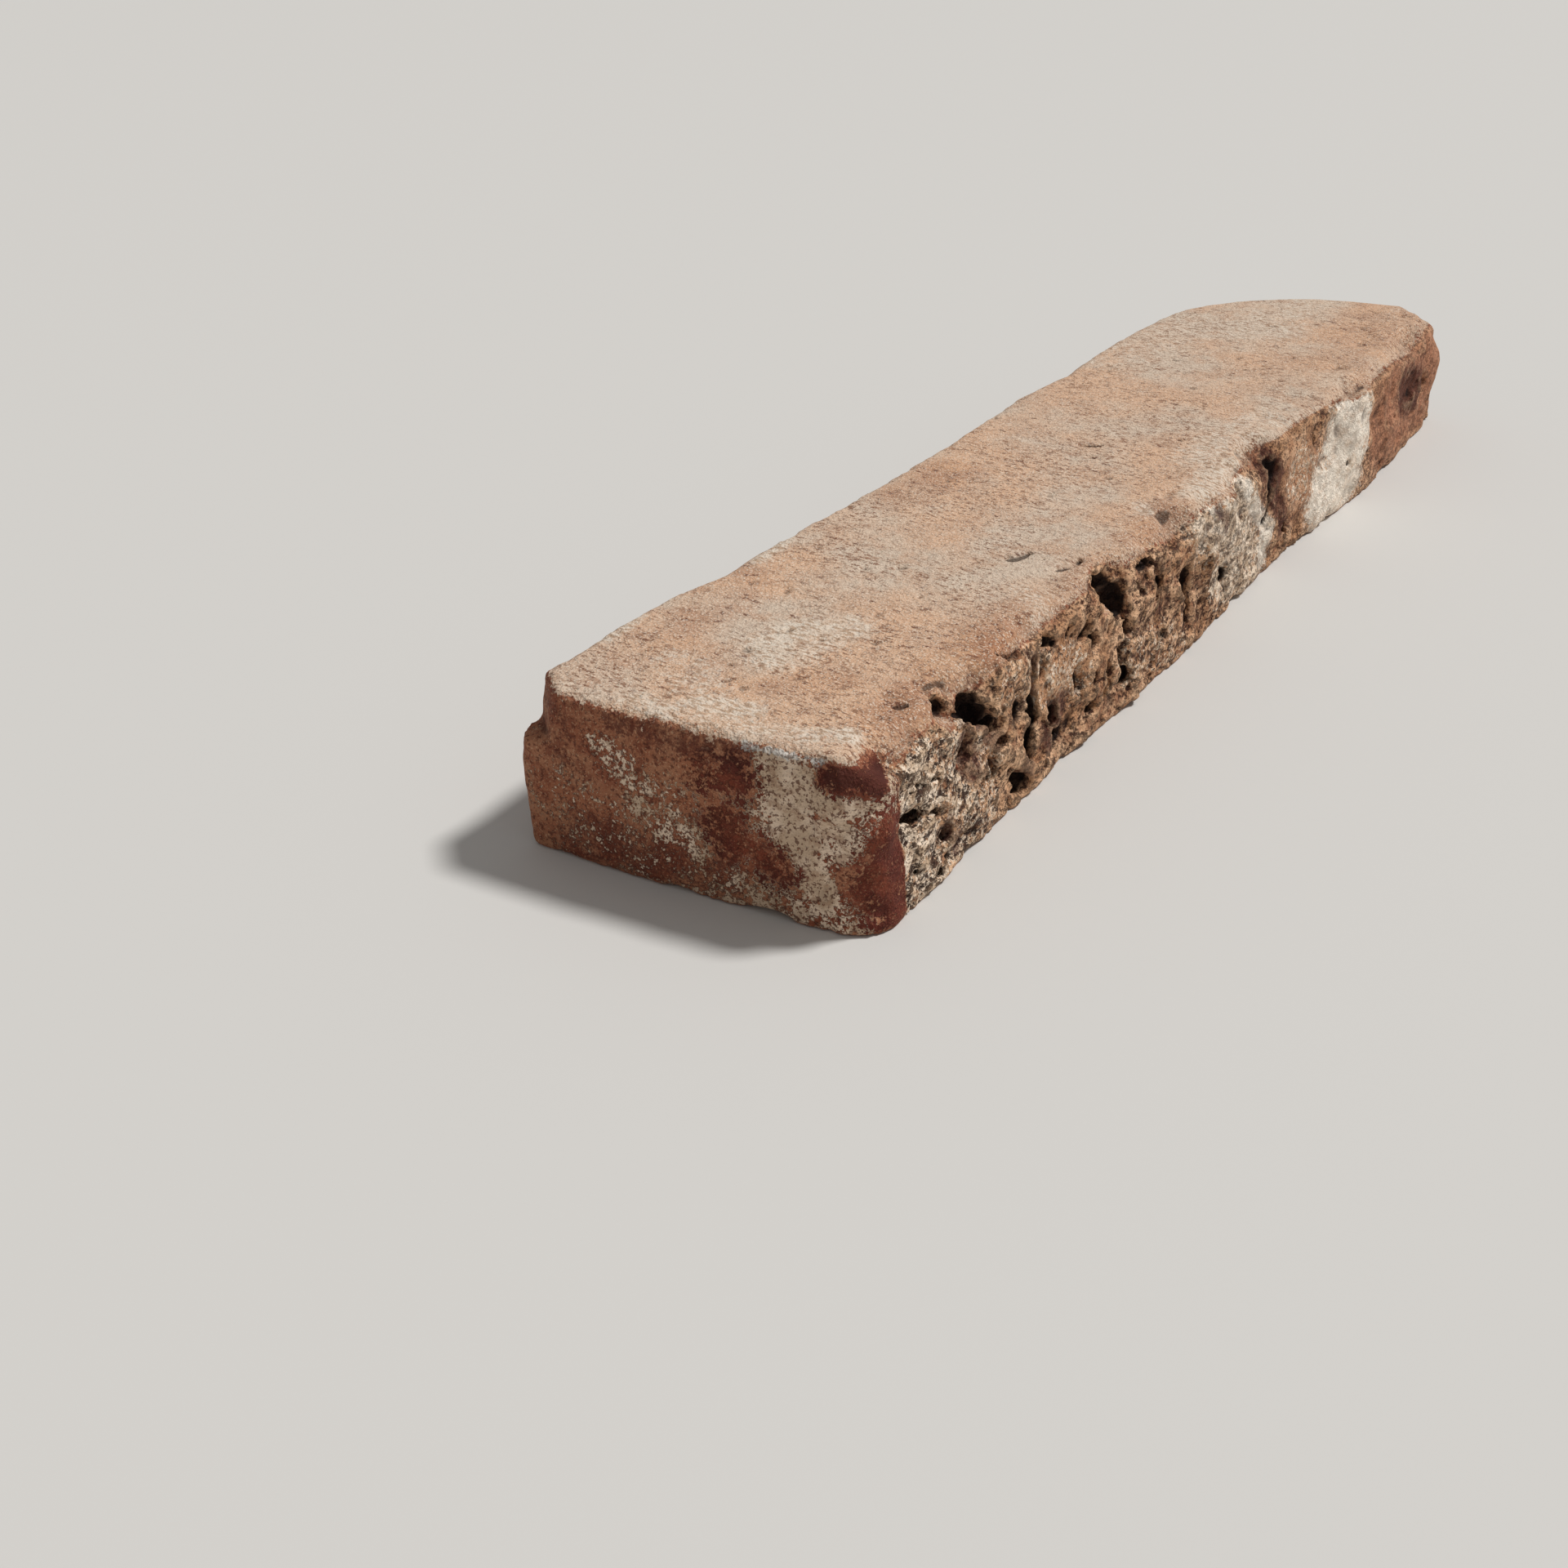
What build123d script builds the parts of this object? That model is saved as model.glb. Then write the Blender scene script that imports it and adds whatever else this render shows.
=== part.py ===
from build123d import *
from collections import namedtuple
import math
import os

# A slip sawn from an old fired clay brick. It lies on its sawn back, with the worn face up.
# X runs along the length, from the near end at -X to the far end at +X.
# The broken long side is at -Y, the worn long side at +Y. The back lies at Z = 0.

# Overall size, in mm: the length between the tips of the two ends, and the width at the near end
length = 245.5
width = 51.7
thickness = 24.0

# How much wider the slip is at its far end, in mm
far_end_widening = 1.7

# Ends out of square, in mm: how far the near right and the far left corner fall short of a square end
near_end_skew = 5.6
far_end_skew = 6.6

# Radii of the four upright corners in plan. The far left corner was knocked off and has worn round.
near_right_radius = 6.0
far_right_radius = 3.0
far_left_radius = 42.0
near_left_radius = 3.0

# The upper part of two corners broke off. The chip's foot is at a share of the thickness, and its
# face cuts across the corner at a distance in from the tip, in mm, at the foot and at the top.
CornerChip = namedtuple("CornerChip", "foot foot_reach top_reach")
near_left_chip = CornerChip(0.69, 5.0, 5.8)
far_right_chip = CornerChip(0.54, 1.0, 10.0)

# Each side's shape: how far its top leans in, how far its middle swells out and how its plan line
# wanders. A wander point is a share of the side's run, counted anticlockwise, and a step outwards.
Side = namedtuple("Side", "lean belly wander")
right_side = Side(2.2, 0.3, [(0.20, -0.9), (0.42, 0.2), (0.58, -0.9), (0.80, 1.6)])
far_end = Side(1.0, 0.6, [(0.50, 0.2)])
left_side = Side(0.8, 1.6, [(0.22, 0.6), (0.46, -0.9), (0.70, -1.0), (0.86, 0.6)])
near_end = Side(0.5, 0.4, [(0.50, 0.5)])

# The radius that the worn face's edge is rubbed to all round, where nothing broke off
arris_radius = 1.5

# Below, a place along X is a share of the length counted from the middle, and a place along Z is a
# share of the thickness. Sizes are in mm.

# Hollows in the broken side: place along X and Z, size along X and Z, depth, and turn in degrees
Hollow = namedtuple("Hollow", "x z wide high deep turn")
hollows = [
    Hollow(-0.430, 0.21, 5.0, 4.5, 2.2, 0),
    Hollow(-0.388, 0.88, 10.0, 7.0, 5.0, 15),
    Hollow(-0.376, 0.60, 6.0, 11.0, 4.2, 35),
    Hollow(-0.338, 0.38, 5.0, 4.0, 2.6, 0),
    Hollow(-0.318, 0.19, 6.5, 5.0, 4.0, 0),
    Hollow(-0.272, 0.34, 9.5, 8.0, 5.0, 30),
    Hollow(-0.234, 0.72, 5.5, 4.5, 3.4, 0),
    Hollow(-0.198, 0.84, 11.0, 8.5, 7.5, 10),
    Hollow(-0.184, 0.40, 7.5, 5.5, 3.6, -20),
    Hollow(-0.130, 0.66, 8.0, 5.5, 3.6, 15),
    Hollow(-0.092, 0.54, 9.0, 8.0, 5.2, 0),
    Hollow(-0.018, 0.33, 7.0, 6.0, 3.0, 0),
    Hollow(0.072, 0.62, 7.0, 23.0, 4.4, 30),
    Hollow(0.440, 0.46, 12.0, 9.0, 2.8, 0),
]

# A hollow's mouth is a ring of this many points. Their reach is uneven by a share, in a wave that
# moves on by an angle in radians from point to point. The floor is the mouth drawn in to a share.
hollow_sides = 8
hollow_unevenness = 0.16
hollow_wave_step = 2.3
hollow_closing = 0.4

# Cracks in the broken side: each one's line along X and Z, its width and its depth in mm. A crack's
# floor is its mouth drawn in to a share of its size.
Crack = namedtuple("Crack", "line wide deep")
cracks = [
    Crack([(-0.444, 0.68), (-0.428, 0.72), (-0.410, 0.66)], 1.6, 4.0),
    Crack([(-0.456, 0.53), (-0.432, 0.52), (-0.404, 0.42)], 2.2, 5.0),
    Crack([(-0.307, 0.85), (-0.311, 0.56), (-0.321, 0.31)], 2.0, 5.0),
]
crack_closing = 0.5

# The two long top arrises are broken away in facets: at each place along X, how far the break
# reaches into the worn face and how far it drops down the side, in mm. The first and the last place
# lie past the ends.
Break = namedtuple("Break", "x reach drop")
right_breaks = [
    Break(-0.53, 3.5, 3.0),
    Break(-0.45, 5.6, 5.2),
    Break(-0.41, 3.0, 2.2),
    Break(-0.375, 5.2, 4.8),
    Break(-0.335, 3.4, 2.6),
    Break(-0.29, 4.6, 4.6),
    Break(-0.24, 3.0, 3.0),
    Break(-0.19, 4.4, 5.4),
    Break(-0.145, 3.0, 2.4),
    Break(-0.10, 4.4, 4.2),
    Break(-0.04, 2.0, 1.6),
    Break(0.015, 2.6, 3.0),
    Break(0.06, 6.4, 7.0),
    Break(0.095, 2.8, 3.0),
    Break(0.155, 1.8, 1.6),
    Break(0.235, 2.6, 2.4),
    Break(0.325, 1.6, 1.4),
    Break(0.40, 4.2, 4.6),
    Break(0.455, 3.0, 3.4),
    Break(0.53, 4.6, 5.4),
]
left_breaks = [
    Break(-0.53, 1.0, 1.2),
    Break(-0.425, 1.4, 1.0),
    Break(-0.375, 0.8, 0.8),
    Break(-0.325, 3.4, 3.8),
    Break(-0.26, 2.6, 2.4),
    Break(-0.195, 1.2, 1.4),
    Break(-0.08, 2.6, 2.2),
    Break(0.025, 1.4, 1.2),
    Break(0.14, 3.0, 3.4),
    Break(0.235, 1.0, 1.2),
    Break(0.53, 2.2, 2.0),
]

# Lumps of old lime mortar on the broken side. They have a hollow's fields, but stand out from it.
crusts = [
    Hollow(-0.037, 0.66, 18.0, 11.0, 1.6, -20),
    Hollow(0.245, 0.52, 21.0, 17.0, 2.2, -60),
]

# How far the shape of what broke off is drawn past the slip's own surface, in mm
clearance = 6.0


def plan_corners():
    """The four corners that the sides' plan lines would meet in, anticlockwise from near right."""
    half_long = length / 2
    near_half = width / 2
    far_half = (width + far_end_widening) / 2
    return [
        Vector(-half_long + near_end_skew, -near_half),
        Vector(half_long, -far_half),
        Vector(half_long - far_end_skew, far_half),
        Vector(-half_long, near_half),
    ]


def inset(side, height):
    """How far a side lies inside its widest plan line at a height."""
    share = height / thickness
    return side.lean * share + side.belly * (1 - math.sin(math.pi * share))


def crossing(a, a_way, b, b_way):
    """The point where two plan lines meet, each given by a point and a direction."""
    gap = b - a
    along = (gap.X * b_way.Y - gap.Y * b_way.X) / (a_way.X * b_way.Y - a_way.Y * b_way.X)
    return a + a_way * along


def outline(height):
    """The slip's closed outline at one height: four wandering sides joined by round corners."""
    corners = plan_corners()
    sides = [right_side, far_end, left_side, near_end]
    full_radii = [near_right_radius, far_right_radius, far_left_radius, near_left_radius]
    ways = [(corners[(i + 1) % 4] - corners[i]).normalized() for i in range(4)]
    outwards = [Vector(way.Y, -way.X) for way in ways]
    insets = [inset(side, height) for side in sides]
    starts = [corners[i] - outwards[i] * insets[i] for i in range(4)]
    tips = [crossing(starts[i - 1], ways[i - 1], starts[i], ways[i]) for i in range(4)]
    radii = [full_radii[i] - (insets[i - 1] + insets[i]) / 2 for i in range(4)]

    arcs = []
    for tip, way_in, way_out, radius in zip(tips, [ways[-1]] + ways[:-1], ways, radii):
        turn = math.radians(way_in.get_angle(way_out))
        trim = radius * math.tan(turn / 2)
        to_centre = (way_out - way_in).normalized()
        middle = tip + to_centre * (radius / math.cos(turn / 2) - radius)
        arcs.append(ThreePointArc(tip - way_in * trim, middle, tip + way_out * trim))

    edges = []
    for i, side in enumerate(sides):
        start = arcs[i] @ 1
        end = arcs[(i + 1) % 4] @ 0
        wander = [start + (end - start) * share + outwards[i] * step for share, step in side.wander]
        edges.append(arcs[i])
        edges.append(Spline(start, *wander, end, tangents=[ways[i], ways[i]]))
    return Pos(0, 0, height) * make_face(Wire(edges))


def worn_body():
    """The slip before any break: a loft from the sawn back up to the worn face, rubbed round there."""
    body = loft([outline(thickness * share) for share in (0.0, 0.34, 0.67, 1.0)])
    worn_face = body.faces().sort_by(Axis.Z)[-1]
    return fillet(worn_face.edges(), arris_radius)


def side_y(near_corner, far_corner, x, lean_in):
    """The Y of a long side at a place along X, drawn in by its lean there."""
    share = (x - near_corner.X) / (far_corner.X - near_corner.X)
    y = near_corner.Y + (far_corner.Y - near_corner.Y) * share
    return y - math.copysign(lean_in, y)


def broken_face(x, height):
    """The Y of the broken side at a place along X and a height."""
    near_right, far_right = plan_corners()[:2]
    return side_y(near_right, far_right, x, right_side.lean * height / thickness)


def corner_chip(chip, tip, neighbours):
    """What broke off a corner's top: a wedge between level four-sided sections."""
    outwards = ((tip - neighbours[0]).normalized() + (tip - neighbours[1]).normalized()).normalized()
    across = Vector(-outwards.Y, outwards.X)
    foot_z = thickness * chip.foot
    top_z = thickness + clearance
    rise = (top_z - foot_z) / (thickness - foot_z)
    reach_above = chip.foot_reach + (chip.top_reach - chip.foot_reach) * rise
    sections = []
    for z, reach in ((foot_z, chip.foot_reach), (top_z, reach_above)):
        half = reach + 2 * clearance
        inner = tip - outwards * reach
        outer = tip + outwards * clearance
        ring = [inner - across * half, outer - across * half, outer + across * half, inner + across * half]
        sections.append(Pos(0, 0, z) * Polygon(*[(point.X, point.Y) for point in ring], align=None))
    return loft(sections, ruled=True)


def broken_cut(mouth, deep, closing):
    """A hole in the broken side: its many-sided mouth closes to a share of itself at the depth."""
    middle_x = sum(x for x, z in mouth) / len(mouth)
    middle_z = sum(z for x, z in mouth) / len(mouth)
    floor = [(middle_x + (x - middle_x) * closing, middle_z + (z - middle_z) * closing) for x, z in mouth]
    face_y = broken_face(middle_x, middle_z)
    mouth_plane = Plane(origin=(0, face_y - clearance, 0), x_dir=(1, 0, 0), z_dir=(0, -1, 0))
    floor_plane = Plane(origin=(0, face_y + deep, 0), x_dir=(1, 0, 0), z_dir=(0, -1, 0))
    mouth_face = mouth_plane * Polygon(*mouth, align=None)
    floor_face = floor_plane * Polygon(*floor, align=None)
    return loft([mouth_face, floor_face], ruled=True)


def hollow_mouth(hollow):
    """The uneven ring of points round a hollow, as broken clay leaves it."""
    turn = math.radians(hollow.turn)
    middle_x = length * hollow.x
    middle_z = thickness * hollow.z
    ring = []
    for i in range(hollow_sides):
        around = 2 * math.pi * i / hollow_sides
        reach = 1 + hollow_unevenness * math.sin(hollow_wave_step * i + hollow.wide + hollow.high)
        across = hollow.wide / 2 * reach * math.cos(around)
        up = hollow.high / 2 * reach * math.sin(around)
        x = middle_x + across * math.cos(turn) + up * math.sin(turn)
        z = middle_z + up * math.cos(turn) - across * math.sin(turn)
        ring.append((x, z))
    return ring


def crack_mouth(crack):
    """The thin many-sided opening along a crack's line, pointed at both ends."""
    line = [(length * x, thickness * z) for x, z in crack.line]
    run = Vector(line[-1][0] - line[0][0], line[-1][1] - line[0][1]).normalized()
    side_x = -run.Y * crack.wide / 2
    side_z = run.X * crack.wide / 2
    one_side = [(x + side_x, z + side_z) for x, z in line[1:-1]]
    other_side = [(x - side_x, z - side_z) for x, z in reversed(line[1:-1])]
    return [line[0], *one_side, line[-1], *other_side]


def crust_lump(crust):
    """An egg-shaped lump of mortar half sunk in the broken side."""
    x = length * crust.x
    z = thickness * crust.z
    egg = scale(Sphere(1), by=(crust.wide / 2, crust.deep, crust.high / 2))
    return Pos(x, broken_face(x, z), z) * Rot(0, crust.turn, 0) * egg


def arris_cut(breaks, near_corner, far_corner, lean):
    """What is broken off a long top arris: facets between five-sided sections along the length."""
    outwards = math.copysign(1, near_corner.Y)
    clear_z = thickness + clearance
    sections = []
    for spot in breaks:
        x = length * spot.x
        arris_y = side_y(near_corner, far_corner, x, lean)
        inner_y = arris_y - outwards * spot.reach
        clear_y = arris_y + outwards * clearance
        foot_z = thickness - spot.drop
        ring = [(inner_y, thickness), (inner_y, clear_z), (clear_y, clear_z), (clear_y, foot_z)]
        ring.append((arris_y, foot_z))
        sections.append(Plane.YZ.offset(x) * Polygon(*ring, align=None))
    return loft(sections, ruled=True)


near_right, far_right, far_left, near_left = plan_corners()

slip = worn_body()
slip -= arris_cut(right_breaks, near_right, far_right, right_side.lean)
slip -= arris_cut(left_breaks, near_left, far_left, left_side.lean)
slip -= corner_chip(near_left_chip, near_left, (near_right, far_left))
slip -= corner_chip(far_right_chip, far_right, (near_right, far_left))
for crust in crusts:
    slip += crust_lump(crust)
for hollow in hollows:
    slip -= broken_cut(hollow_mouth(hollow), hollow.deep, hollow_closing)
for crack in cracks:
    slip -= broken_cut(crack_mouth(crack), crack.deep, crack_closing)

# The part's own frame: the middle of the sawn back's surrounding box
box = slip.bounding_box()
slip = Pos(-box.center().X, -box.center().Y, 0) * slip

os.makedirs("parts", exist_ok=True)
export_step(slip, "parts/brick_slip.step")
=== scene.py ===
import math
from collections import namedtuple

import bpy
import numpy as np
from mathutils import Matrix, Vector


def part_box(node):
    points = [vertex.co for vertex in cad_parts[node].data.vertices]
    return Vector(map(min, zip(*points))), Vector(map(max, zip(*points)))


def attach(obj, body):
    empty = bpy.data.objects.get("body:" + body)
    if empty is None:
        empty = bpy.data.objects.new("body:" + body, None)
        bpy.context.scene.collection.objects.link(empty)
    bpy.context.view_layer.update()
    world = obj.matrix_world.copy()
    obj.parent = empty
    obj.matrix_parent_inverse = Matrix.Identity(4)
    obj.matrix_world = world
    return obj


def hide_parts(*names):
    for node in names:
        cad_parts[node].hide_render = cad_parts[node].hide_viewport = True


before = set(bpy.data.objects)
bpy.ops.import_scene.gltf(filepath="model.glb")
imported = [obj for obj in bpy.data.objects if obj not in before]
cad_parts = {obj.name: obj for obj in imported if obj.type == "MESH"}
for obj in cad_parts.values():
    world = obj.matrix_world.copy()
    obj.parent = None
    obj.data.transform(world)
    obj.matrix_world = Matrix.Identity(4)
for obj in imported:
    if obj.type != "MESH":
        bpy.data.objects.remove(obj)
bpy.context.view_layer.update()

import openvdb

# A brick slip lying on its sawn back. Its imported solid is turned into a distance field, the field gets
# the relief of broken, worn and mortar-smeared clay, and the field's surface becomes the visible mesh.
# X runs from the near end at -X to the far end at +X. The broken long side is at -Y.
# Sizes and places are in millimetres of the part's own frame, until the mesh is made in metres.

mm = 0.001
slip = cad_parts["brick_slip"]
low, high = [np.array(corner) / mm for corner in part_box("brick_slip")]
thickness = high[2] - low[2]

# The field's step and how far it reaches on each side of the surface
step = 0.42
band_steps = 9
healed_band = 12

# The most triangles that the visible mesh may have
triangle_limit = 192000

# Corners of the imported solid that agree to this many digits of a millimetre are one
weld_digits = 4


# Distance field

def packed_mesh(thing):
    """A node's corners in millimetres, welded, and its triangles."""
    mesh = thing.data
    mesh.calc_loop_triangles()
    places = np.empty(len(mesh.vertices) * 3, np.float32)
    mesh.vertices.foreach_get("co", places)
    corners = np.empty(len(mesh.loop_triangles) * 3, np.int32)
    mesh.loop_triangles.foreach_get("vertices", corners)
    places = places.reshape(-1, 3).astype(float) / mm
    welded, index = np.unique(np.round(places, weld_digits), axis=0, return_inverse=True)
    return welded, index.ravel()[corners.reshape(-1, 3)]


def distance_field(places, triangles):
    """The signed distance to the solid, negative inside, on a regular grid, and the grid's axes."""
    grid = openvdb.FloatGrid.createLevelSetFromPolygons(
        places / step, triangles=triangles.astype(np.uint32),
        transform=openvdb.createLinearTransform(voxelSize=1.0), halfWidth=float(band_steps))
    first, last = grid.evalActiveVoxelBoundingBox()
    field = np.empty([b - a + 1 for a, b in zip(first, last)], np.float32)
    grid.copyToArray(field, ijk=first)
    axes = [np.arange(a, b + 1) * step for a, b in zip(first, last)]
    return field * np.float32(step), axes


solid, axes = distance_field(*packed_mesh(slip))
X, Y, Z = np.meshgrid(*[axis.astype(np.float32) for axis in axes], indexing="ij", sparse=True)


def smooth(low_end, high_end, value):
    """0 below one end, 1 above the other, and smooth between them."""
    share = np.clip((value - low_end) / (high_end - low_end), 0, 1)
    return share * share * (3 - 2 * share)


def blur(field, radius):
    """The field averaged over about a radius in millimetres, by three box filters along each axis."""
    half = max(1, int(round(radius / step / 2)))
    for axis in range(3):
        for _ in range(3):
            edges = [(half + 1, half) if i == axis else (0, 0) for i in range(3)]
            total = np.cumsum(np.pad(field, edges, mode="edge"), axis=axis, dtype=np.float64)
            upper = np.take(total, range(2 * half + 1, total.shape[axis]), axis=axis)
            lower = np.take(total, range(0, total.shape[axis] - 2 * half - 1), axis=axis)
            field = ((upper - lower) / (2 * half + 1)).astype(np.float32)
    return field


# Brings a noise's smoothed draws mostly to within -1 and 1
noise_gain = 2.2


def noise(cell, seed, stretch=(1, 1, 1)):
    """A smooth random field, mostly within -1 and 1, whose lumps are about a cell across."""
    draws = np.random.default_rng(seed)
    spots = [axis / (cell * share) for axis, share in zip(axes, stretch)]
    bases = [np.floor(at).astype(int) for at in spots]
    counts = [base[-1] - base[0] + 4 for base in bases]
    field = draws.uniform(-1, 1, counts).astype(np.float32)
    for axis in (2, 1, 0):
        t = (spots[axis] - bases[axis]).astype(np.float32)
        # The four weights of a cubic spline, times six
        spline = [(1 - t) ** 3, 3 * t ** 3 - 6 * t ** 2 + 4, 1 + 3 * (t + t ** 2 - t ** 3), t ** 3]
        rows = bases[axis] - bases[axis][0]
        shape = [-1 if i == axis else 1 for i in range(3)]
        field = sum(np.take(field, rows + i, axis=axis) * (weight / 6).reshape(shape)
                    for i, weight in enumerate(spline))
    return field * noise_gain


def layered(cell, seed, layers, fall, stretch):
    """Noise with finer and fainter noise on top."""
    return sum(noise(cell / 2 ** i, seed + i, stretch) * fall ** i for i in range(layers))


def noises(*layers, base=0.0):
    """Several noises added to a base. Each has a cell, a seed and an amount."""
    return sum((amount * noise(cell, seed) for cell, seed, amount in layers), base)


def sample(field, places):
    """The field's value at places in millimetres, one row each."""
    spot = np.stack([(places[:, i] - axes[i][0]) / step for i in range(3)], 1)
    limit = np.array(field.shape) - 1.001
    spot = np.clip(spot, 0, limit)
    base = spot.astype(int)
    part = (spot - base).astype(np.float32)
    value = np.zeros(len(places), np.float32)
    for corner in np.ndindex(2, 2, 2):
        weight = np.prod(np.where(corner, part, 1 - part), axis=1)
        value += weight * field[tuple((base + corner).T)]
    return value


# Lumps of broken clay: how many kinds there are, the numbers that pick a lump's kind from its place, and
# how steeply a lump leans
lump_kinds = 4096
kind_pickers = (73856093, 19349663, 83492791)
lump_lean = 1.2


def facets(places, size, seed):
    """A random step and tilt for each place, alike within one lump of a size: how dry clay breaks."""
    draws = np.random.default_rng(seed)
    table = draws.random((lump_kinds, 3), np.float32)
    steps = draws.uniform(-1, 1, lump_kinds).astype(np.float32)
    tilts = draws.uniform(-1, 1, (lump_kinds, 3)).astype(np.float32)
    spots = (places / size).astype(np.float32)
    cell = np.floor(spots).astype(np.int64)
    part = spots - cell
    nearest = np.full(len(spots), np.inf, np.float32)
    name = np.zeros(len(spots), np.int64)
    away = np.zeros_like(spots)
    for shift in np.ndindex(3, 3, 3):
        move = np.array(shift) - 1
        key = np.bitwise_xor.reduce((cell + move) * kind_pickers, axis=1) & (lump_kinds - 1)
        gap = part - move - table[key]
        distance = (gap * gap).sum(axis=1)
        closer = distance < nearest
        nearest = np.where(closer, distance, nearest)
        name = np.where(closer, key, name)
        away[closer] = gap[closer]
    return steps[name] + (away * tilts[name]).sum(axis=1) * lump_lean


def smooth_max(a, b, radius):
    """The larger of two fields, with the edge where they meet rounded."""
    near = np.maximum(radius - np.abs(a - b), 0) / radius
    return np.maximum(a, b) + near * near * radius / 4


# Faces: how much each place belongs to each face, from the way that the rounded solid faces

# The near end's plane stands at this X on the middle line and leans back towards the broken side. Its
# finish goes on round the upright corner there, to this far behind the plane, give or take a fade.
near_x = -118.7
near_slope = 0.105
near_reach = 6.6
near_fade = 0.5

# The broken side's finish reaches this far in from its outermost place, and fades out over this much
side_reach = 14.0
side_fade = 3.0

# At the near end's upright corner, behind the plane, along Y and up Z, from where it starts to where it is
# whole, the worn face's finish needs this much more slope
corner_behind = (8.0, 6.0)
corner_across = (-15.0, -18.0)
corner_up = (23.3, 22.5)
corner_slope = 0.22

# How far a place faces a face's way where it starts to belong to the face, and where it does wholly: 0 is
# square to that way, and 1 is that way itself
top_slopes = (0.45, 0.85)
end_slopes = (0.45, 0.8)
back_slopes = (0.6, 0.85)

# The radius that the solid is rounded by, how far an arris stands out of the rounded solid, and the height
# above the sawn back over which the other faces' finishes fade in
rounding = 2.4
arris_heights = (0.15, 0.75)
back_fade = 0.8

rounded = blur(solid, rounding)
slopes = np.gradient(rounded, step)
steepness = np.sqrt(sum(slope * slope for slope in slopes)) + 1e-6
facing = [slope / steepness for slope in slopes]
behind_near = X - (near_x - near_slope * Y)
near_corner = smooth(*corner_behind, behind_near) * smooth(*corner_across, Y) * smooth(*corner_up, Z)
on_top = smooth(*top_slopes, facing[2] - corner_slope * near_corner)
on_near = smooth(near_reach + near_fade, near_reach - near_fade, behind_near) * (1 - on_top)
on_far = smooth(*end_slopes, facing[0])
on_left = smooth(*end_slopes, facing[1])
on_back = smooth(*back_slopes, -facing[2])
side_end = low[1] + side_reach
on_side = (1 - on_top) * (1 - on_near) * (1 - on_far) * smooth(side_end, side_end - side_fade, Y)
off_back = smooth(0.0, back_fade, Z)

# How sharply the solid turns outwards: 1 along its arrises
arris = smooth(*arris_heights, rounded - solid)


# Strokes: where old lime and mortar cling, where clay lies bare, where dark clay and painted shade lie, and
# where the broken side is smooth. A stroke has two places of a face that it runs between, its reach on both
# sides and its strength.

# On the near end and on round its upright corner: across is Y, less how far a place lies behind the end's
# plane, and up is Z
film_strokes = [
    ((-12.6, 21.6), (-13.4, 14.5), 4, 1),
    ((-13, 13.5), (-20.5, 13.5), 3, 0.9),
    ((-15.4, 12), (-17.8, 4.5), 2.3, 1.05),
    ((-18, 18.4), (-26.6, 17.6), 1.9, 0.9),
    ((-20.5, 15.6), (-24.4, 15.8), 2, 0.72),
    ((-28.3, 19.6), (-29.2, 13.9), 0.8, 1),
    ((-4.4, 17.6), (-9, 10), 3.6, 0.5),
    ((12.4, 17.8), (6.4, 14.2), 2.4, 0.56),
    ((7, 11), (-1.4, 8.2), 2.8, 0.52),
    ((5, 14.3), (-3.5, 13.7), 2.6, 0.4),
    ((-9, 4), (-22, 2.4), 4.2, 0.52),
    ((-18, 1.6), (-25, 1.8), 2.2, 0.6),
    ((6, 0.3), (-24, 0.7), 1.2, 0.5),
    ((20, 9), (2, 4), 5, 0.24),
    ((18, 2.5), (-6, 2.5), 3, 0.22),
]
bare_strokes = [
    ((-5, 12.4), (-5.8, 10.2), 2.4, 0.98),
    ((-18.9, 21.9), (-26.1, 20.6), 1.5, 1.15),
    ((-27.6, 13.4), (-27.4, 5), 3.7, 1.15),
    ((-24.8, 8), (-24, 6.4), 2.6, 1),
    ((-28.8, 4), (-28.8, 1), 2.8, 1),
    ((-3, 17.6), (-7, 18.6), 2.4, 0.76),
    ((-9, 9.6), (-12, 7), 2.4, 0.7),
]
rubbed_corner_strokes = [
    ((-27.6, 21.4), (-29.4, 19), 1.1, 1),
]
# Dark clay and painted shade on the near end: the first stroke paints shade on the corner facet that the lamp
# lights, and the long low one paints the shadow along the bottom, where the end meets the ground
dark_and_shade_end_strokes = [
    ((-18.9, 21.9), (-26.1, 20.6), 1.5, 1),
    ((-29, 15), (-29, 2), 2.6, 0.5),
    ((10, 22), (-8, 21), 2.2, 0.6),
    ((16, 4), (-12, 3.5), 4.5, 0.66),
    ((2, 9), (-8, 14.5), 3, 0.5),
    ((19, 20), (18, 15), 2.5, 0.4),
]
residue_strokes = [
    ((-7.5, 23.4), (-17, 23.5), 0.8, 0.7),
]

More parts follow.
